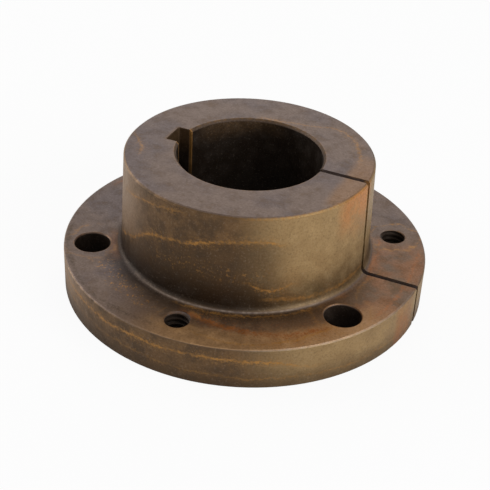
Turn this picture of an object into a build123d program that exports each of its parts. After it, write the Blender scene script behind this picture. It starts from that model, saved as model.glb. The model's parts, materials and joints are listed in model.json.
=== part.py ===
from build123d import *
from math import sqrt
import os

# A flanged split taper bush, in one piece of dark iron.
#
# It clamps a pulley, sprocket or coupling to a shaft.  Screws draw the
# tapered barrel into a matching taper in the hub, the barrel closes across
# its slit, and the bore grips the shaft.  A key in the keyseat carries the
# torque.  To free the bush, the same screws go into the tapped jacking
# holes of the flange and push the hub away.
#
# Frame: the origin is the centre of the flange's flat back face.  +Z runs
# along the bore to the nose of the barrel, +X points along the slit, and
# the keyseat lies opposite the slit, on -X.  Lengths are in millimetres.

# ---------------------------------------------------------------- sizes

# The flange, a plain disc with all its screw holes on one circle.
flange_diameter = 80.96
flange_thickness = 9.525
flange_front_chamfer = 0.3
flange_back_chamfer = 0.2

# The barrel, from the flange's back face to the nose.
overall_length = 31.75

# The taper seat, measured where it meets the flange's front face.
seat_large_diameter = 55.56
# Diameter lost for each millimetre of length: three quarters of an inch
# in a foot, the usual taper of such bushes.
seat_taper = 0.0625
seat_root_fillet = 1.5
nose_chamfer = 0.5

# The bore and its keyseat.  The depth is taken at the keyseat's side.
bore_diameter = 31.75
bore_chamfer = 0.5
keyseat_width = 6.35
keyseat_depth = 3.175
keyseat_corner_radius = 0.4

# The saw slit, through the wall and the flange from end to end.
slit_width = 1.2

# The screw holes: clearance holes and tapped holes take turns.
screws = 3
clearance_hole_diameter = 7.94
clearance_hole_chamfer = 0.2
tapped_hole_diameter = 5.1
tapped_hole_chamfer = 0.2

# How far a cutter reaches past the faces it opens.
overrun = 1.0

# ------------------------------------------------------- worked out sizes

flange_radius = flange_diameter / 2
bore_radius = bore_diameter / 2
seat_large_radius = seat_large_diameter / 2
seat_length = overall_length - flange_thickness
seat_nose_radius = seat_large_radius - seat_taper * seat_length / 2

# The keyseat's floor is level, so its depth starts where its side leaves
# the bore.
keyseat_mouth = sqrt(bore_radius**2 - (keyseat_width / 2) ** 2)
keyseat_floor = keyseat_mouth + keyseat_depth

# The screw holes stand midway between the seat's root and the rim, so that
# the same metal is left on either side of them.
bolt_circle_radius = (seat_large_radius + flange_radius) / 2

# One clearance hole and one tapped hole share each step of the pattern.
# The slit lies midway between two neighbouring holes.
pattern_step = 360 / screws
clearance_start = -pattern_step / 4
tapped_start = pattern_step / 4


# --------------------------------------------------------------- features


def turned_blank():
    """Flange, taper seat and bore, turned in one setting.

    The half section is drawn with sharp corners.  Each corner is then
    broken or filled as the tool leaves it.
    """
    back_bore = (bore_radius, 0)
    back_rim = (flange_radius, 0)
    front_rim = (flange_radius, flange_thickness)
    seat_root = (seat_large_radius, flange_thickness)
    nose_rim = (seat_nose_radius, overall_length)
    nose_bore = (bore_radius, overall_length)
    breaks = (
        (back_bore, bore_chamfer),
        (back_rim, flange_back_chamfer),
        (front_rim, flange_front_chamfer),
        (nose_rim, nose_chamfer),
        (nose_bore, bore_chamfer),
    )
    with BuildPart() as blank:
        with BuildSketch(Plane.XZ) as section:
            with BuildLine():
                Polyline(
                    back_bore,
                    back_rim,
                    front_rim,
                    seat_root,
                    nose_rim,
                    nose_bore,
                    close=True,
                )
            make_face()
            root = section.vertices().sort_by_distance(seat_root)[0]
            fillet(root, radius=seat_root_fillet)
            for corner, size in breaks:
                sharp = section.vertices().sort_by_distance(corner)[0]
                chamfer(sharp, length=size)
        revolve(axis=Axis.Z)
    return blank.part


def keyseat_cutter():
    """A square-bottomed slot along the whole bore, on -X."""
    with BuildPart() as cutter:
        with Locations((0, 0, -overrun)):
            Box(
                keyseat_floor,
                keyseat_width,
                overall_length + 2 * overrun,
                align=(Align.MAX, Align.CENTER, Align.MIN),
            )
        floor_corners = cutter.edges().filter_by(Axis.Z).group_by(Axis.X)[0]
        fillet(floor_corners, radius=keyseat_corner_radius)
    return cutter.part


def slit_cutter():
    """The saw's path, from inside the bore out past the rim, on +X."""
    with BuildPart() as cutter:
        with Locations((0, 0, -overrun)):
            Box(
                flange_radius + overrun,
                slit_width,
                overall_length + 2 * overrun,
                align=(Align.MIN, Align.CENTER, Align.MIN),
            )
    return cutter.part


def hole_cutter(diameter, mouth_chamfer):
    """One drill through the flange, with both of its mouths broken."""
    radius = diameter / 2
    mouth_radius = radius + mouth_chamfer
    with BuildPart() as cutter:
        with Locations((0, 0, -overrun)):
            Cylinder(
                radius,
                flange_thickness + 2 * overrun,
                align=(Align.CENTER, Align.CENTER, Align.MIN),
            )
        Cone(
            mouth_radius,
            radius,
            mouth_chamfer,
            align=(Align.CENTER, Align.CENTER, Align.MIN),
        )
        with Locations((0, 0, flange_thickness)):
            Cone(
                radius,
                mouth_radius,
                mouth_chamfer,
                align=(Align.CENTER, Align.CENTER, Align.MAX),
            )
    return cutter.part


def taper_bush():
    """The finished bush: the blank, then its keyseat, holes and slit."""
    clearance_hole = hole_cutter(clearance_hole_diameter, clearance_hole_chamfer)
    tapped_hole = hole_cutter(tapped_hole_diameter, tapped_hole_chamfer)
    with BuildPart() as bush:
        add(turned_blank())
        add(keyseat_cutter(), mode=Mode.SUBTRACT)
        with PolarLocations(bolt_circle_radius, screws, start_angle=clearance_start):
            add(clearance_hole, mode=Mode.SUBTRACT)
        with PolarLocations(bolt_circle_radius, screws, start_angle=tapped_start):
            add(tapped_hole, mode=Mode.SUBTRACT)
        add(slit_cutter(), mode=Mode.SUBTRACT)
    return bush.part


# ----------------------------------------------------------------- export

os.makedirs("parts", exist_ok=True)
bush = taper_bush()
export_step(bush, "parts/taper_bush.step")
print(f"taper bush: {bush.volume:.0f} cubic millimetres, {len(bush.faces())} faces")
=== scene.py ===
# %% [markdown]
# # A flanged split taper bush
#
# This bush clamps a pulley to a shaft.  It is one piece of iron: a round
# flange, a short barrel that tapers on the outside, a keyed bore, and one
# saw slit that lets the barrel close.  Six screw holes stand on one circle,
# three plain and three tapped.
#
# The exact shape comes from a solid model.  What is left to do here is the
# part that an engineer leaves out: the threads, the knocks along the rim,
# the dark oxide and its rust, the light and the camera.

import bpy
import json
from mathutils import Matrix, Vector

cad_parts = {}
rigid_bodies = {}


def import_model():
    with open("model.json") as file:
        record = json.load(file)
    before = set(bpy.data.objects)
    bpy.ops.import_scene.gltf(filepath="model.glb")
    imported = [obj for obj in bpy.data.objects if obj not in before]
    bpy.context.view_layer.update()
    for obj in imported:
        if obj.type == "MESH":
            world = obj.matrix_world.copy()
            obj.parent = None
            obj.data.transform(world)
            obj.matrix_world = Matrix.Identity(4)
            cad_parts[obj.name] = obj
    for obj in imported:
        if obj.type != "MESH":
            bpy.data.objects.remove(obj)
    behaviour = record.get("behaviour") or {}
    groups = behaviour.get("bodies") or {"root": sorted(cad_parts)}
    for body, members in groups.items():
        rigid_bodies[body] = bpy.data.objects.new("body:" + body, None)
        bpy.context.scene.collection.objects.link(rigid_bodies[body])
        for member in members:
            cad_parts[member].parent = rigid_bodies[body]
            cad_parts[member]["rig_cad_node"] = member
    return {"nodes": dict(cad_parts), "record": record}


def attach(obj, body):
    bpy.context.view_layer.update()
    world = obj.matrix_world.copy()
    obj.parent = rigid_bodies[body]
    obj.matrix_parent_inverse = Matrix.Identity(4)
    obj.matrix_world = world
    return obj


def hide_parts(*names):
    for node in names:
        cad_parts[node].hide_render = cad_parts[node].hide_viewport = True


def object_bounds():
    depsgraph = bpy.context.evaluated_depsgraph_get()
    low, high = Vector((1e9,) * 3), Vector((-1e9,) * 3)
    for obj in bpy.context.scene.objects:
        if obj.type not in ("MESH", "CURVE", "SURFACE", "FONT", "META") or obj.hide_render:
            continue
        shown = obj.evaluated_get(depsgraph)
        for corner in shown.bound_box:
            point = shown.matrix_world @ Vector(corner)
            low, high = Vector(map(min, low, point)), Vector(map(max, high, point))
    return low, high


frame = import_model()
cad_low, cad_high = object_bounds()
print("solid model, size in metres:", tuple(round(side, 5) for side in cad_high - cad_low))

# %% [markdown]
# ## Measures
#
# Sizes that the solid model can tell are read from it, so that this script
# still fits if the bush is made in another size.  The few that it doesn't
# tell, such as the thickness of the flange, are named here once.

# %% Modules and measures
import json
from math import cos, pi, radians, sin

import bpy
from mathutils import Matrix, Vector

MM = 0.001
MOUNTS = {mount["name"]: mount["dims"] for mount in frame["record"]["mounts"]}

FLANGE_RADIUS = cad_high.y
NOSE_HEIGHT = cad_high.z
BORE_RADIUS = MOUNTS["bore"]["r_mm"] * MM
BOLT_CIRCLE_RADIUS = MOUNTS["jacking_holes"]["pcd_mm"] * MM / 2
TAPPED_RADIUS = MOUNTS["jacking_holes"]["hole_r_mm"] * MM
CLEARANCE_RADIUS = MOUNTS["clearance_holes"]["hole_r_mm"] * MM

FLANGE_THICKNESS = 9.525 * MM
BARREL_ROOT_RADIUS = 27.78 * MM

TAPPED_ANGLES = (30, 150, 270)
CLEARANCE_ANGLES = (-30, 90, 210)


def around(angle, radius, height):
    """The point at this angle in degrees, distance from the axis and height."""
    return Vector((radius * cos(radians(angle)), radius * sin(radians(angle)), height))


print("bolt circle radius in millimetres:", round(BOLT_CIRCLE_RADIUS / MM, 2))

# %% [markdown]
# ## A copy of the bush to work on
#
# The solid model arrives as loose triangles and must stay as it is.  So the
# work is done on a copy that stands for it.  The copy's doubled points are
# merged first, because a cutting tool needs a closed skin.

# %% Copy the bush and close its skin
SOLID = frame["nodes"]["taper_bush"]


def pick(piece):
    """Make this the only selected object, and the active one."""
    bpy.ops.object.select_all(action="DESELECT")
    piece.select_set(True)
    bpy.context.view_layer.objects.active = piece
    return piece


pick(SOLID)
bpy.ops.object.duplicate()
bush = bpy.context.active_object
bush.name = "threaded_bush"
del bush["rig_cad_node"]
bpy.ops.object.mode_set(mode="EDIT")
bpy.ops.mesh.select_all(action="SELECT")
bpy.ops.mesh.remove_doubles(threshold=0.002 * MM)
bpy.ops.mesh.customdata_custom_splitnormals_clear()
bpy.ops.object.mode_set(mode="OBJECT")
print("bush:", len(bush.data.vertices), "points,", len(bush.data.polygons), "faces")

# %% [markdown]
# ## Threads in the jacking holes
#
# A tap cuts a spiral groove, wide at the wall of the hole and narrow at its
# bottom.  The same groove can be made from its cross-section: one flat
# four-sided face, stood upright, its outer edge made narrow, and carried up
# and round by a Screw modifier.  That gives a spiral bar, which is then taken
# away from the bush as a cutter.

# %% Draw the cross-section of the groove
THREAD_PITCH = 1.27 * MM
THREAD_OUTER_RADIUS = 3.175 * MM
GROOVE_START_RADIUS = TAPPED_RADIUS - 0.15 * MM
GROOVE_START_WIDTH = 1.05 * MM
GROOVE_END_WIDTH = 0.16 * MM

groove_depth = THREAD_OUTER_RADIUS - GROOVE_START_RADIUS
groove_middle = (THREAD_OUTER_RADIUS + GROOVE_START_RADIUS) / 2
bpy.ops.mesh.primitive_plane_add(size=1)
groove = bpy.context.active_object
groove.name = "groove"
bpy.ops.object.mode_set(mode="EDIT")
bpy.ops.transform.resize(value=(groove_depth, GROOVE_START_WIDTH, 1))
bpy.ops.transform.translate(value=(groove_middle, 0, 0))
bpy.ops.mesh.select_all(action="DESELECT")
bpy.ops.object.mode_set(mode="OBJECT")
for point in groove.data.vertices:
    point.select = point.co.x > groove_middle
bpy.ops.object.mode_set(mode="EDIT")
narrowing = GROOVE_END_WIDTH / GROOVE_START_WIDTH
bpy.ops.transform.resize(value=(1, narrowing, 1), center_override=(THREAD_OUTER_RADIUS, 0, 0))
bpy.ops.mesh.select_all(action="SELECT")
bpy.ops.transform.rotate(value=-pi / 2, orient_axis="X", center_override=(0, 0, 0))
bpy.ops.mesh.delete(type="ONLY_FACE")
bpy.ops.object.mode_set(mode="OBJECT")
print("cross-section:", [tuple(round(c / MM, 2) for c in v.co) for v in groove.data.vertices])

# %% [markdown]
# The spiral starts one turn below the flange and ends above it, so that the
# groove runs out cleanly at both faces.  Its two open ends are closed, since
# only a closed shape can cut.

# %% Sweep it into a spiral cutter
THREAD_STEPS = 24
THREAD_TURNS = int(FLANGE_THICKNESS / THREAD_PITCH) + 3

screw = groove.modifiers.new("spiral", "SCREW")
screw.axis = "Z"
screw.angle = 2 * pi
screw.screw_offset = THREAD_PITCH
screw.iterations = THREAD_TURNS
screw.steps = THREAD_STEPS
screw.render_steps = THREAD_STEPS
screw.use_merge_vertices = False
pick(groove)
bpy.ops.object.modifier_apply(modifier=screw.name)
bpy.ops.object.mode_set(mode="EDIT")
bpy.ops.mesh.select_all(action="SELECT")
bpy.ops.mesh.fill_holes(sides=4)
bpy.ops.mesh.select_all(action="SELECT")
bpy.ops.mesh.normals_make_consistent(inside=False)
bpy.ops.transform.translate(value=(0, 0, -1.5 * THREAD_PITCH))
bpy.ops.object.mode_set(mode="OBJECT")
print("spiral:", len(groove.data.polygons), "faces")

# %% [markdown]
# ## One cutter for each hole
#
# The spiral is modelled once and copied.  Every copy gets its own mesh, and
# its place is applied to that mesh, so the three can be joined and cut in
# one go.

# %% Set one cutter in each tapped hole
def joined(pieces, name):
    """Several objects made one, with their places kept in the mesh."""
    bpy.ops.object.select_all(action="DESELECT")
    for piece in pieces:
        piece.select_set(True)
    bpy.context.view_layer.objects.active = pieces[0]
    bpy.ops.object.transform_apply(location=True, rotation=True, scale=True)
    if len(pieces) > 1:
        bpy.ops.object.join()
    pieces[0].name = name
    return pieces[0]


taps = []
for angle in TAPPED_ANGLES:
    pick(groove)
    bpy.ops.object.duplicate()
    tap = bpy.context.active_object
    tap.rotation_euler.z = radians(angle + 200)
    tap.location = around(angle, BOLT_CIRCLE_RADIUS, 0)
    taps.append(tap)
bpy.data.objects.remove(groove)
thread_cutter = joined(taps, "thread_cutter")
print("thread cutter:", len(thread_cutter.data.polygons), "faces")

# %% [markdown]
# ## Cutting
#
# A Boolean modifier takes one closed shape away from another.  The exact
# solver is slower than the fast one, but it copes with a thread that grazes
# the wall of its hole.  Counting the open edges afterwards shows whether the
# skin is still closed.

# %% Cut the threads
def cut(piece, cutter):
    """Take the cutter's shape away from the piece, then delete the cutter."""
    difference = piece.modifiers.new("cut", "BOOLEAN")
    difference.operation = "DIFFERENCE"
    difference.solver = "EXACT"
    difference.object = cutter
    pick(piece)
    bpy.ops.object.modifier_apply(modifier=difference.name)
    bpy.data.objects.remove(cutter)


def open_edges(piece):
    """How many edges don't have exactly two faces: none on a closed skin."""
    uses = {}
    for face in piece.data.polygons:
        for key in face.edge_keys:
            uses[key] = uses.get(key, 0) + 1
    return sum(count != 2 for count in uses.values())


cut(bush, thread_cutter)
print("bush:", len(bush.data.polygons), "faces,", open_edges(bush), "open edges")

# %% [markdown]
# ## Knocks along the rim
#
# A bush is dropped in a bin with others, so its rim has small dents.  Each
# dent is where a hard round corner hit the edge.  A low ball, stretched along
# the rim and sunk a little into the edge, cuts a dent of that shape.

# %% Cut a few dents
RIM_DENTS = (
    # angle round the axis, height, length, depth, in degrees and millimetres
    (-152, 9.5, 1.6, 0.16),
    (-137, 9.5, 1.1, 0.12),
    (-126, 9.4, 2.2, 0.14),
    (-117, 9.5, 1.3, 0.2),
    (-96, 9.5, 1.0, 0.12),
    (-47, 1.6, 1.5, 0.16),
    (-33, 9.5, 1.8, 0.12),
    (14, 9.5, 1.2, 0.16),
    (61, 9.4, 2.0, 0.18),
    (104, 0.2, 1.7, 0.2),
    (133, 9.5, 1.2, 0.14),
    (176, 9.5, 1.9, 0.16),
)
DENT_BALL = 1.2 * MM

balls = []
for angle, height, length, depth in RIM_DENTS:
    reach = FLANGE_RADIUS + DENT_BALL - depth * MM
    bpy.ops.mesh.primitive_ico_sphere_add(
        subdivisions=3,
        radius=DENT_BALL,
        location=around(angle, reach, height * MM),
        rotation=(radians(17 * len(balls)), 0, radians(angle)),
        scale=(1, length, 0.8),
    )
    balls.append(bpy.context.active_object)
cut(bush, joined(balls, "dent_cutter"))
print("bush:", len(bush.data.polygons), "faces,", open_edges(bush), "open edges")

# %% [markdown]
# ## Smooth faces, crisp edges
#
# Round walls are made of flat strips, so they are shaded smooth, and edges
# sharper than 30 degrees stay crisp.  The Weighted Normal modifier then lets
# the big flat faces decide the shading at their borders, which keeps them
# from looking bulged.

# %% Shade the bush
pick(bush)
bpy.ops.object.shade_smooth_by_angle(angle=radians(30))
weighted = bush.modifiers.new("weighted normals", "WEIGHTED_NORMAL")
weighted.keep_sharp = True
weighted.weight = 100
bpy.ops.object.modifier_apply(modifier=weighted.name)
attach(bush, "root")
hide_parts("taper_bush")
print("bush shaded, rides on the root body")

# %% [markdown]
# ## Shader maths in plain Python
#
# A finish is built from many small sums.  This class wraps a socket of the
# node tree, so that the sums can be written as arithmetic.  Each + or * adds
# the Math node that does it.

# %% A socket that can be added and multiplied
class Signal:
    """A number that changes over the surface, as a socket of a shader."""

    def __init__(self, finish, socket):
        self.finish = finish
        self.socket = socket

    def maths(self, operation, *numbers):
        return self.finish.node("ShaderNodeMath", {"operation": operation}, numbers)

    def output(self, name):
        """Another output of the same node."""
        return Signal(self.finish, self.socket.node.outputs[name])

    def __add__(self, other):
        return self.maths("ADD", self, other)

    def __sub__(self, other):
        return self.maths("SUBTRACT", self, other)

    def __rsub__(self, other):
        return self.maths("SUBTRACT", other, self)

    def __mul__(self, other):
        return self.maths("MULTIPLY", self, other)

    def __truediv__(self, other):
        return self.maths("DIVIDE", self, other)

    def __pow__(self, other):
        return self.maths("POWER", self, other)

    def __abs__(self):
        return self.maths("ABSOLUTE", self)

    __radd__ = __add__
    __rmul__ = __mul__


class Finish:
    """A material and the one method that adds any node to it."""

    def __init__(self, name):
        self.material = bpy.data.materials.new(name)
        self.material.use_nodes = True
        self.tree = self.material.node_tree
        self.shader = self.tree.nodes["Principled BSDF"]

    def node(self, kind, settings=None, values=(), output=0):
        """Add a node: its settings first, then a number or a link for each socket."""
        made = self.tree.nodes.new(kind)
        for name, setting in (settings or {}).items():
            if name == "curve":
                self.shape(made.mapping, setting)
            else:
                setattr(made, name, setting)
        pairs = values.items() if isinstance(values, dict) else enumerate(values)
        for name, value in pairs:
            self.feed(value, made.inputs[name])
        return Signal(self, made.outputs[output])

    def shape(self, mapping, points):
        """Give a curve its points, and make it straight past the last ones."""
        curve = mapping.curves[0]
        curve.points[0].location = points[0]
        curve.points[1].location = points[-1]
        for across, up in points[1:-1]:
            curve.points.new(across, up)
        mapping.extend = "HORIZONTAL"
        mapping.update()

    def feed(self, value, socket):
        if isinstance(value, Signal):
            self.tree.links.new(value.socket, socket)
        else:
            socket.default_value = value


iron = Finish("dark_oxidised_iron")
print("material:", iron.material.name)

# %% [markdown]
# ## Where on the bush?
#
# The finish differs from face to face: the nose and the flange are grey, the
# barrel is brown.  So the shader needs to know where it is.  Object
# coordinates give the place in metres.  From them come the distance from the
# axis and the bearing round it, which suit a turned part.

# %% Coordinates round the axis
place = iron.node("ShaderNodeTexCoord", output="Object")
split = iron.node("ShaderNodeSeparateXYZ", values=[place])
east = split.output("X") / MM
north = split.output("Y") / MM
height = split.output("Z") / MM
off_axis = (east * east + north * north) ** 0.5
bearing = iron.node("ShaderNodeMath", {"operation": "ARCTAN2"}, [north, east]) * (180 / pi)


def ramp(value, start, end):
    """0 below start, 1 above end, and a soft step between."""
    settings = {"interpolation_type": "SMOOTHSTEP", "clamp": True}
    return iron.node("ShaderNodeMapRange", settings, [value, start, end, 0, 1])


def between(value, low, high, soft):
    """1 from low to high, fading out over a soft border."""
    return ramp(value, low - soft, low + soft) * (1 - ramp(value, high - soft, high + soft))


def facing(turn, half_width, soft):
    """1 on the side that faces this bearing, with no seam behind."""
    toward = (east * cos(radians(turn)) + north * sin(radians(turn))) / off_axis
    outer = cos(radians(min(half_width + soft, 179)))
    return ramp(toward, outer, cos(radians(half_width - soft)))


def noise(size, detail=2.0, roughness=0.5, vector=None):
    """Cloudy noise, 0 to 1, whose clouds are about this many millimetres across."""
    values = {"Vector": vector or place, "Scale": 1 / (size * MM)}
    values.update({"Detail": detail, "Roughness": roughness})
    return iron.node("ShaderNodeTexNoise", None, values)


def blend(amount, below, above):
    """One colour over another."""
    return iron.node("ShaderNodeMix", {"data_type": "RGBA"}, {0: amount, 6: below, 7: above}, 2)


print("coordinates ready")

# %% [markdown]
# ## Masks for the faces
#
# A mask is 1 on one face of the bush and 0 elsewhere.  The radii and heights
# come from the measures above, with a soft border a fraction of a millimetre
# wide, so that no hard line shows where two faces meet.

# %% Face masks
TOP = NOSE_HEIGHT / MM
FACE = FLANGE_THICKNESS / MM
RIM = -cad_low.x / MM
ROOT = BARREL_ROOT_RADIUS / MM
BORE = BORE_RADIUS / MM

on_nose = ramp(height, TOP - 0.3, TOP - 0.1)
on_rim = ramp(off_axis, RIM - 0.23, RIM - 0.06) * (1 - ramp(height, FACE - 0.225, FACE - 0.075))
in_bore = 1 - ramp(off_axis, BORE + 0.225, BORE + 0.625)
on_flange = between(height, FACE - 0.125, FACE + 0.175, 0.08)
on_flange = on_flange * ramp(off_axis, ROOT + 0.22, ROOT + 1.22)
on_barrel = between(off_axis, ROOT - 1.78, ROOT + 1.42, 0.5)
on_barrel = on_barrel * ramp(height, FACE + 0.075, FACE + 0.875) * (1 - on_nose)
print("masks made for faces at heights", round(FACE, 3), "and", round(TOP, 3))

# %% [markdown]
# ## Rust follows a tide line
#
# Oil and water dry on the iron in shapes with a thin ochre border, as on a
# beach.  Such a border is a line that wanders.  Its course is a curve: for
# each bearing, the height or the radius where it runs.  The distance to that
# course makes the line, and noise makes it ragged.

# %% Wandering lines
ragged = (noise(6.0, 5, 0.66) - 0.5) * 5.0
broken = ramp(noise(0.9, 4, 0.65), 0.4, 0.6)
patchy = ramp(noise(5.5, 3, 0.6), 0.36, 0.6)
flecks = ramp(noise(0.5, 3, 0.7), 0.5, 0.62)
wobble = ragged * 0.42 + (noise(1.1, 5, 0.72) - 0.5) * 2.2
REACH = 45.0


def course(points):
    """The height or radius that belongs to each bearing, through these points."""
    first, last = points[0][0], points[-1][0]
    knots = [((turn - first) / (last - first), level / REACH) for turn, level in points]
    along = (bearing - first) / (last - first)
    return iron.node("ShaderNodeFloatCurve", {"curve": knots}, [1.0, along]) * REACH


def line(value, points, width):
    """A ragged line along a course: a thin broken core among loose flecks."""
    away = abs(value + wobble - course(points))
    core = (1 - ramp(away, 0.0, width * 0.7)) * (broken * 0.75 + 0.35) * (patchy * 0.4 + 0.6)
    loose = (1 - ramp(away, width * 0.3, width * 3.2)) * (flecks * 0.42 + 0.05) * (patchy * 0.7 + 0.3)
    both = core + loose
    return both.maths("MINIMUM", both, 1.0) * between(bearing, points[0][0], points[-1][0], 5)


def below_line(value, points, soft):
    """1 on the low side of a course, fading out at both ends."""
    under = 1 - ramp(value + ragged * 0.35 - course(points), -soft, soft)
    return under * between(bearing, points[0][0], points[-1][0], 8)


print("line helpers ready")

# %% [markdown]
# ## Colours of the oxide
#
# The oxide is grey with a touch of violet on the flat faces, and a warmer
# brown on the turned walls.  Rust shows as ochre, orange and red-brown.  The
# olive and the pale colour are a painted highlight and a painted reflection,
# the near-black one is painted shade, and the worn metal colour also paints
# highlights.

# %% Colours
def tone(red, green, blue):
    """A colour as a colour picker shows it, 0 to 255, made linear for the shader."""
    linear = []
    for part in (red / 255, green / 255, blue / 255):
        linear.append(part / 12.92 if part <= 0.04045 else ((part + 0.055) / 1.055) ** 2.4)
    return (*linear, 1)


GREY_OXIDE = tone(114, 95, 84)
VIOLET_OXIDE = tone(103, 88, 84)
BROWN_OXIDE = tone(114, 86, 56)
DARK_OXIDE = tone(70, 52, 33)
# Painted shade.
PAINTED_SHADE = tone(37, 24, 12)
# Painted highlight.
OLIVE_PAINTED_SHEEN = tone(168, 138, 93)
BORE_OXIDE = tone(40, 30, 22)
OCHRE = tone(176, 126, 62)
ORANGE_RUST = tone(156, 96, 48)
FRESH_RUST = tone(196, 126, 66)
STAIN = tone(150, 110, 70)
GOLD_STAIN = tone(184, 142, 96)
# Painted reflection.
PALE_PAINTED_REFLECTION = tone(170, 141, 114)
# Worn metal, also used for painted highlights.
WORN_METAL_AND_HIGHLIGHT = tone(176, 158, 140)
print("ochre, linear:", [round(part, 3) for part in OCHRE[:3]])

# %% [markdown]
# ## The oxide before any rust
#
# Three noises of different sizes are laid over each other: slow clouds, a
# mottle of a few millimetres, and a fine grain.  One noise alone would look
# like a pattern.

# %% The plain oxide of each face
clouds = noise(13, 3, 0.55)
mottle = noise(3.2, 4, 0.62)
grain = noise(0.45, 3, 0.65)

face_colour = blend(ramp(clouds, 0.42, 0.62), GREY_OXIDE, VIOLET_OXIDE)
face_colour = blend(ramp(mottle, 0.5, 0.72) * 0.35, face_colour, BROWN_OXIDE)
wall_colour = blend(ramp(mottle, 0.36, 0.66) * 0.7, BROWN_OXIDE, DARK_OXIDE)
on_back = 1 - ramp(height, 0.05, 0.25)
face_colour = blend(on_back * patchy * 0.6, face_colour, BROWN_OXIDE)
walls = on_barrel.maths("MAXIMUM", on_barrel, on_rim)
colour = blend(walls, face_colour, wall_colour)
print("oxide colours ready")

# %% [markdown]
# ## Rust on the barrel
#
# One tide line climbs round the front of the barrel.  Below it the oxide is
# darker, and towards the root painted shade darkens it down to nearly black.
# The left side gets a pale painted reflection.  Towards the slit the side that
# faces the right lamp gets an olive painted highlight, and by the slit it turns
# orange, where the oil has gone and rust has begun.

# %% Barrel
BARREL_LINES = (
    # width in millimetres, strength, then bearing and height along the line
    (0.75, 0.95, ((-146, 14), (-128, 17.5), (-112, 22), (-90, 24), (-76, 26), (-52, 25.4))),
    (0.6, 0.7, ((-138, 26.5), (-118, 28.6), (-96, 30.2))),
    (0.55, 0.8, ((-66, 16.4), (-57, 14.8), (-47, 15.8))),
    (1.0, 0.55, ((-58, 12.6), (-34, 11.6), (-3, 12.0))),
    (0.7, 0.8, ((8, 17), (40, 21), (72, 19.5), (104, 23.5), (138, 21), (172, 24))),
    (0.6, 0.6, ((48, 28.5), (90, 29.4), (126, 27.2))),
)
BARREL_TIDE = BARREL_LINES[0][2]
BACK_TIDE = BARREL_LINES[4][2]

# The two sides that get a painted reflection (left) and a painted highlight (right).
reflected_left = facing(-170, 41, 16)
lit_right = facing(-21, 40, 14)
# Painted shade: the barrel darker towards the root, less so on the lit right side.
barrel_root_shade = 1 - ramp(height + ragged * 0.5, 11.0, 19.5)
colour = blend(on_barrel * reflected_left * 0.7, colour, PALE_PAINTED_REFLECTION)
colour = blend(on_barrel * lit_right * (mottle * 0.6 + 0.5), colour, OLIVE_PAINTED_SHEEN)
colour = blend(on_barrel * below_line(height, BARREL_TIDE, 0.9) * 0.55, colour, DARK_OXIDE)
colour = blend(on_barrel * below_line(height, BACK_TIDE, 1.4) * 0.4, colour, DARK_OXIDE)
colour = blend(on_barrel * barrel_root_shade * (0.9 - lit_right * 0.26), colour, PAINTED_SHADE)
patch = facing(-10, 9, 8) * ramp(height + ragged * 1.6, 20, 29)
colour = blend(on_barrel * patch * (patchy * 0.45 + flecks * 0.25 + 0.25), colour, FRESH_RUST)
for width, strength, points in BARREL_LINES:
    colour = blend(on_barrel * line(height, points, width) * strength, colour, OCHRE)
spots = ramp(noise(0.7, 3, 0.65), 0.57, 0.66)
dotted = between(bearing + ragged * 3, -112, -56, 8) * between(height + ragged, 16.6, 20.6, 1.2)
colour = blend(on_barrel * dotted * spots * 0.42, colour, OCHRE)
print("barrel coloured")

# %% [markdown]
# ## Rust on the rim
#
# The rim stood in the same oil as the barrel, so it has a tide line too.  Its
# lower part is painted darker as painted shade, its right side gets an olive
# painted highlight, and its left side a pale painted reflection.

# %% Rim
RIM_LINES = (
    # width in millimetres, strength, then bearing and height along the line
    (0.65, 0.95, ((-152, 7.4), (-120, 6.7), (-80, 6.9), (-62, 6.4), (-46, 4.4))),
    (0.5, 0.35, ((-160, 4.5), (-110, 3.6), (-50, 2.4), (20, 3.0))),
    (0.65, 0.8, ((14, 5.2), (52, 6.8), (96, 5.0), (134, 6.4), (172, 7.2))),
)

# Painted shade: the rim darker towards the bottom.
low_rim_shade = 1 - ramp(height + ragged * 0.4, 0.4, 6.0)
# Painted highlight on the right of the rim, painted reflection on its left.
colour = blend(on_rim * facing(-22, 36, 13) * (mottle * 0.6 + 0.45), colour, OLIVE_PAINTED_SHEEN)
colour = blend(on_rim * reflected_left * 0.65, colour, PALE_PAINTED_REFLECTION)
colour = blend(on_rim * low_rim_shade * 0.7, colour, DARK_OXIDE)
streak = facing(-9, 4, 3) * (patchy * 0.4 + 0.3)
colour = blend(on_rim * streak, colour, ORANGE_RUST)
for width, strength, points in RIM_LINES:
    colour = blend(on_rim * line(height, points, width) * strength, colour, OCHRE)
print("rim coloured")

# %% [markdown]
# ## Rust on the flat faces
#
# The flange has more of these lines, close to the barrel and round the
# holes, where screws and water sat.  The nose is nearly clean, with one brown
# stain across the slit.

# %% Flange
FLANGE_LINES = (
    # width in millimetres, strength, then bearing and radius along the line
    (2.0, 1.0, ORANGE_RUST, ((-90, 30.6), (-69, 34.2), (-56, 35.6), (-38, 36.5))),
    (0.8, 0.8, OCHRE, ((-84, 36.3), (-67, 38.5), (-54, 38.0), (-33, 36.3))),
    (0.7, 0.7, OCHRE, ((-96, 29.0), (-60, 29.3), (-34, 28.9))),
    (0.9, 0.7, ORANGE_RUST, ((-22, 38.8), (0, 37.8), (20, 39.0))),
    (1.1, 0.7, ORANGE_RUST, ((-6, 29.8), (10, 29.6), (28, 30.6))),
    (0.7, 0.5, OCHRE, ((-22, 33.0), (-9, 29.8), (2, 31.5))),
    (0.7, 0.7, OCHRE, ((44, 31.0), (70, 30.4), (104, 32.6), (140, 30.8))),
    (1.2, 0.6, ORANGE_RUST, ((60, 37.4), (96, 38.6), (128, 37.0), (168, 38.4))),
)
FLANGE_SHADOW = ((-162, 39.6), (-130, 39.4), (-115, 39.0), (-96, 37.6))

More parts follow.
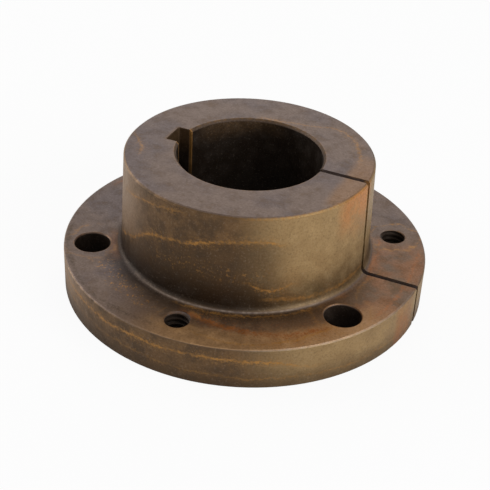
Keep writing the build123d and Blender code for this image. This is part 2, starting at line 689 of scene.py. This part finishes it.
warm = facing(-40, 66, 22)
colour = blend(on_flange * warm * (mottle * 0.7 + 0.35), colour, BROWN_OXIDE)
rusty = facing(-3, 26, 12) * patchy
colour = blend(on_flange * rusty * 0.4, colour, ORANGE_RUST)
outer = facing(-58, 36, 12) * ramp(off_axis + ragged * 0.6, 33.2, 36.2)
colour = blend(on_flange * outer * (mottle * 0.5 + 0.5), colour, GOLD_STAIN)
colour = blend(on_flange * line(off_axis, FLANGE_SHADOW, 1.2) * 0.6, colour, DARK_OXIDE)
# Painted shade: the flange darker next to the barrel, on the front and the left.
flange_root_shade = (1 - ramp(off_axis + ragged * 0.7, 28.6, 33.8)) * facing(-95, 62, 14)
colour = blend(on_flange * flange_root_shade * 0.7, colour, PAINTED_SHADE)
for width, strength, rust, points in FLANGE_LINES:
    colour = blend(on_flange * line(off_axis, points, width) * strength, colour, rust)
speckled = facing(-120, 15, 8) * between(off_axis + ragged, 30.5, 34.6, 1.2)
colour = blend(on_flange * speckled * spots * 0.85, colour, OCHRE)
colour = blend(on_flange * facing(-148, 9, 6) * (1 - ramp(off_axis, 28.5, 32)) * 0.4, colour, ORANGE_RUST)
print("flange lines:", len(FLANGE_LINES))

# %% [markdown]
# ## The root fillet
#
# The tool left a smooth round corner where the barrel meets the flange.  A
# thin pale line on its front is a painted highlight, and its left side is
# painted darker as painted shade.

# %% The root fillet, with a painted highlight in front
shaded_root = between(height, 9.55, 11.4, 0.3) * between(off_axis, 27.4, 29.3, 0.25)
# Painted shade on the left part of the fillet.
colour = blend(shaded_root * facing(-134, 26, 16) * 0.75, colour, PAINTED_SHADE)
# Painted highlight: a thin pale line along the front of the fillet.
fillet = between(height, 9.72, 9.95, 0.07) * between(off_axis, 28.2, 29.0, 0.1)
colour = blend(fillet * facing(-70, 36, 14) * (broken * 0.4 + 0.1), colour, WORN_METAL_AND_HIGHLIGHT)
print("flange coloured")

# %% [markdown]
# ## Round the holes
#
# Water creeps along a screw and dries in a ring, so each hole has a broken
# ring of rust.  The distance to the centre of a hole makes it.  Inside, the
# metal is dark.

# %% Rust rings and worn mouths of the holes
def away_from(centre):
    """The distance in millimetres, across the flange, from a hole's centre."""
    across = east - centre.x / MM
    up = north - centre.y / MM
    return (across * across + up * up) ** 0.5


RUST_RINGS = ((30, 5.6, 0.75), (-150, 6.4, 0.4), (-90, 4.4, 0.45), (-30, 6.0, 0.35))
for turn, radius, strength in RUST_RINGS:
    gap = abs(away_from(around(turn, BOLT_CIRCLE_RADIUS, 0)) + ragged * 1.7 - radius)
    ring = (1 - ramp(gap, 0.0, 0.75)) * (broken * 0.6 + 0.3) * patchy
    colour = blend(on_flange * ring * strength, colour, OCHRE)

HOLES = [(turn, TAPPED_RADIUS) for turn in TAPPED_ANGLES]
HOLES += [(turn, CLEARANCE_RADIUS) for turn in CLEARANCE_ANGLES]
in_hole = None
for turn, radius in HOLES:
    away = away_from(around(turn, BOLT_CIRCLE_RADIUS, 0)) - radius / MM
    mouth = between(away, 0.02, 0.34, 0.08)
    colour = blend(mouth * (broken * 0.35 + 0.1), colour, STAIN)
    inside = 1 - ramp(away, 0.6, 0.8)
    in_hole = inside if in_hole is None else in_hole.maths("MAXIMUM", in_hole, inside)
below_face = 1 - ramp(height, 9.0, 9.35)
colour = blend(in_hole * below_face * 0.9, colour, BORE_OXIDE)
print("flange coloured,", len(HOLES), "hole mouths")

# %% [markdown]
# ## Nose, bore and keyseat
#
# Two faint arcs of rust lie on the nose, and a stain crosses the slit.  The
# bore is nearly black, except where light falls in from above: there the bore
# wall and the top of the keyseat wall are painted lighter as painted light, and
# the keyseat's rounded corners get a thin painted highlight.

# %% Nose
NOSE_ARC = ((18, 23.4), (34, 23.9), (52, 23.6), (74, 18.4), (106, 16.8))
NOSE_LEFT = ((-172, 26.4), (-160, 23.6), (-150, 23.6))

stain = ramp(east + ragged * 0.35, 20.8, 23.0) * between(north + ragged * 0.9, -12, 9, 3)
colour = blend(on_nose * stain * (mottle * 0.5 + 0.3), colour, STAIN)
violet = between(east, -24, -18, 2) * between(north, -4, 4, 3)
colour = blend(on_nose * violet * 0.5, colour, VIOLET_OXIDE)
colour = blend(on_nose * line(off_axis, NOSE_ARC, 0.8) * 0.5, colour, OCHRE)
colour = blend(on_nose * line(off_axis, NOSE_LEFT, 0.8) * 0.5, colour, OCHRE)
chamfer = (1 - ramp(off_axis, 16.3, 16.45)) * ramp(height, 31.1, 31.3)
colour = blend(chamfer * 0.75, colour, DARK_OXIDE)
down_bore = in_bore * (1 - ramp(height, 31.0, 31.3))
colour = blend(down_bore, colour, BORE_OXIDE)
# Painted light: the upper bore wall on the far side is painted lighter brown.
lit_bore = down_bore * facing(122, 26, 20) * ramp(height + ragged, 26.5, 31)
colour = blend(lit_bore * (flecks * 0.3 + 0.4), colour, BROWN_OXIDE)
in_keyseat = (1 - ramp(east, -16.3, -15.9)) * (1 - ramp(abs(north), 3.25, 3.35))
in_keyseat = in_keyseat * ramp(east, -19.4, -18.9)
colour = blend(in_keyseat * (1 - ramp(height, 31.4, 31.7)), colour, BORE_OXIDE)
# Painted light on the top of the keyseat wall.
colour = blend(in_keyseat * ramp(height + ragged, 25, 31) * 0.5, colour, BROWN_OXIDE)
# Painted highlight: a thin ochre line down the keyseat's rounded corners.
corner = between(abs(north), 2.95, 3.5, 0.15) * between(off_axis, 15.6, 16.4, 0.15)
corner = corner * (1 - ramp(east, -15.0, -14.5)) * ramp(height, 14, 30)
colour = blend(corner * 0.7, colour, OCHRE)
print("nose and bore coloured")

# %% [markdown]
# ## Worn edges and grain
#
# Handling rubs the oxide off the corners, so a thin paler line runs along
# each of them.  On the front right of the rim that line is much brighter, and
# the extra is a painted highlight.  A fine grain over everything keeps the
# oxide from looking painted.  The same grain, with faint lathe marks, also
# tilts the surface a little through a Bump node.

# %% Edges and grain
nose_edge = ramp(height, 31.0, 31.3) * (1 - ramp(height, 31.5, 31.75)) * ramp(off_axis, 26.2, 26.6)
rim_edge_wear_and_highlight = ramp(height, 9.15, 9.3) * ramp(off_axis, 39.9, 40.15)
keyseat_edge = ramp(height, 31.3, 31.7) * between(off_axis, 15.9, 16.6, 0.12)
colour = blend(nose_edge * facing(-32, 34, 16) * broken * 0.45, colour, OCHRE)
# Rim edge: a faint worn line all round, plus a painted highlight on the front right.
colour = blend(rim_edge_wear_and_highlight * (facing(-34, 26, 14) * 0.4 + 0.03) * (broken * 0.5 + 0.5), colour, WORN_METAL_AND_HIGHLIGHT)
colour = blend(keyseat_edge * broken * 0.2, colour, OCHRE)
colour = blend(ramp(grain, 0.46, 0.72) * 0.32, colour, DARK_OXIDE)
colour = blend((1 - ramp(grain, 0.26, 0.46)) * 0.16, colour, WORN_METAL_AND_HIGHLIGHT)

turned = iron.node("ShaderNodeCombineXYZ", None, [off_axis * MM, bearing / 90 * MM, height * MM])
lathe = noise(0.3, 2, 0.5, vector=turned)
relief = grain * 0.7 + lathe * 0.5 + mottle * 0.6
print("relief ready")
bump = iron.node("ShaderNodeBump", None, {"Strength": 0.5, "Distance": 0.05 * MM, "Height": relief})

# %% [markdown]
# ## Metal or not?
#
# Bare oxide still shines a little like metal, and rust doesn't.  So where the
# mottle is rusty the shader is less metallic and rougher.

# %% Put the finish on the bush
rusted = ramp(mottle, 0.4, 0.7)
iron.feed(colour, iron.shader.inputs["Base Color"])
iron.feed(0.62 - rusted * 0.2, iron.shader.inputs["Metallic"])
iron.feed(0.40 + rusted * 0.16 + grain * 0.08, iron.shader.inputs["Roughness"])
iron.feed(bump, iron.shader.inputs["Normal"])
bush.data.materials.clear()
bush.data.materials.append(iron.material)
print("finish:", len(iron.tree.nodes), "nodes")

# %% [markdown]
# ## Floor, light and camera
#
# The bush stands on a plain pale floor in soft studio light.  The camera
# alone sees the floor and the air as white.  The lamps stay at a plain level.
# The floor lies a hair below the bush, because two faces in one plane would
# fight over which of them is seen.

# %% The floor
FLOOR_GAP = 0.05 * MM

bpy.ops.mesh.primitive_plane_add(size=4, location=(0, 0, -FLOOR_GAP))
floor = bpy.context.active_object
floor.name = "floor"

white = Finish("white_floor")
white.feed((0.8, 0.8, 0.8, 1), white.shader.inputs["Base Color"])
white.feed(0.8, white.shader.inputs["Roughness"])
FLOOR_WHITE = 0.93
seen = white.node("ShaderNodeLightPath", output="Is Camera Ray")
glow = white.node("ShaderNodeEmission", None, {"Color": (1, 1, 1, 1), "Strength": 1.0})
lit = Signal(white, white.shader.outputs["BSDF"])
mixed = white.node("ShaderNodeMixShader", None, [seen * FLOOR_WHITE, lit, glow])
white.feed(mixed, white.tree.nodes["Material Output"].inputs["Surface"])
floor.data.materials.append(white.material)
print("floor", FLOOR_GAP / MM, "millimetres below the bush")

# %% [markdown]
# ## The air
#
# The world lights the bush softly from all sides.  What the camera sees of it
# directly is a paler value, which a Light Path node picks.

# %% The air
world = bpy.data.worlds.new("studio")
bpy.context.scene.world = world
world.use_nodes = True
air = world.node_tree
background = air.nodes["Background"]
path = air.nodes.new("ShaderNodeLightPath")
strength = air.nodes.new("ShaderNodeMapRange")
AIR_LIGHT = 0.42
AIR_SEEN = 0.96
strength.inputs["To Min"].default_value = AIR_LIGHT
strength.inputs["To Max"].default_value = AIR_SEEN
air.links.new(path.outputs["Is Camera Ray"], strength.inputs["Value"])
air.links.new(strength.outputs["Result"], background.inputs["Strength"])
background.inputs["Color"].default_value = (1, 1, 1, 1)
print("air light:", AIR_LIGHT)

# %% [markdown]
# ## Three soft lamps
#
# Large square lamps give the broad highlights that turned metal needs.  The
# strongest stands at the right, so the left of the barrel falls into shade.

# %% The lamps
def softbox(name, turn, elevation, distance, size, brightness):
    """A square lamp that faces the bush; a brightness of 1 looks white."""
    bpy.ops.object.light_add(type="AREA")
    lamp = bpy.context.active_object
    lamp.name = name
    level = radians(elevation)
    away = around(turn, distance * cos(level), distance * sin(level))
    lamp.location = away
    lamp.rotation_euler = away.to_track_quat("Z", "Y").to_euler()
    lamp.data.size = size
    lamp.data.energy = brightness * pi * size**2
    return lamp


softbox("back_lamp", 112, 38, 0.6, 0.5, 0.9)
softbox("right_lamp", -16, 25, 0.6, 0.4, 4.4)
softbox("left_lamp", -170, 22, 0.6, 0.35, 3.4)
print("three lamps set")

# %% [markdown]
# ## The camera
#
# A long lens from about six and a half flange radii away keeps the round
# forms from looking stretched.  The camera turns round the bush, tilts down,
# and leans a little to one side.

# %% The camera
VIEW_BEARING = 22.3
VIEW_ELEVATION = 32.855
VIEW_ROLL = 3.167
FLANGES_AWAY = 6.396
AIM_HEIGHT = 0.1974
FOCAL_SHARE = 1144.1 / 490

bpy.ops.object.camera_add()
camera = bpy.context.active_object
turn = Matrix.Rotation(radians(VIEW_BEARING), 3, "Z")
tilt = Matrix.Rotation(radians(90 - VIEW_ELEVATION), 3, "X")
roll = Matrix.Rotation(radians(VIEW_ROLL), 3, "Z")
pose = turn @ tilt @ roll
aim = Vector((0, 0, AIM_HEIGHT * FLANGE_RADIUS))
camera.rotation_euler = pose.to_euler()
camera.location = aim + pose @ Vector((0, 0, FLANGES_AWAY * FLANGE_RADIUS))
camera.data.sensor_width = 36
camera.data.lens = FOCAL_SHARE * 36
camera.data.clip_start = 0.01
bpy.context.scene.camera = camera
print("lens in millimetres:", round(camera.data.lens, 1))
bpy.context.scene.view_settings.view_transform = "Standard"
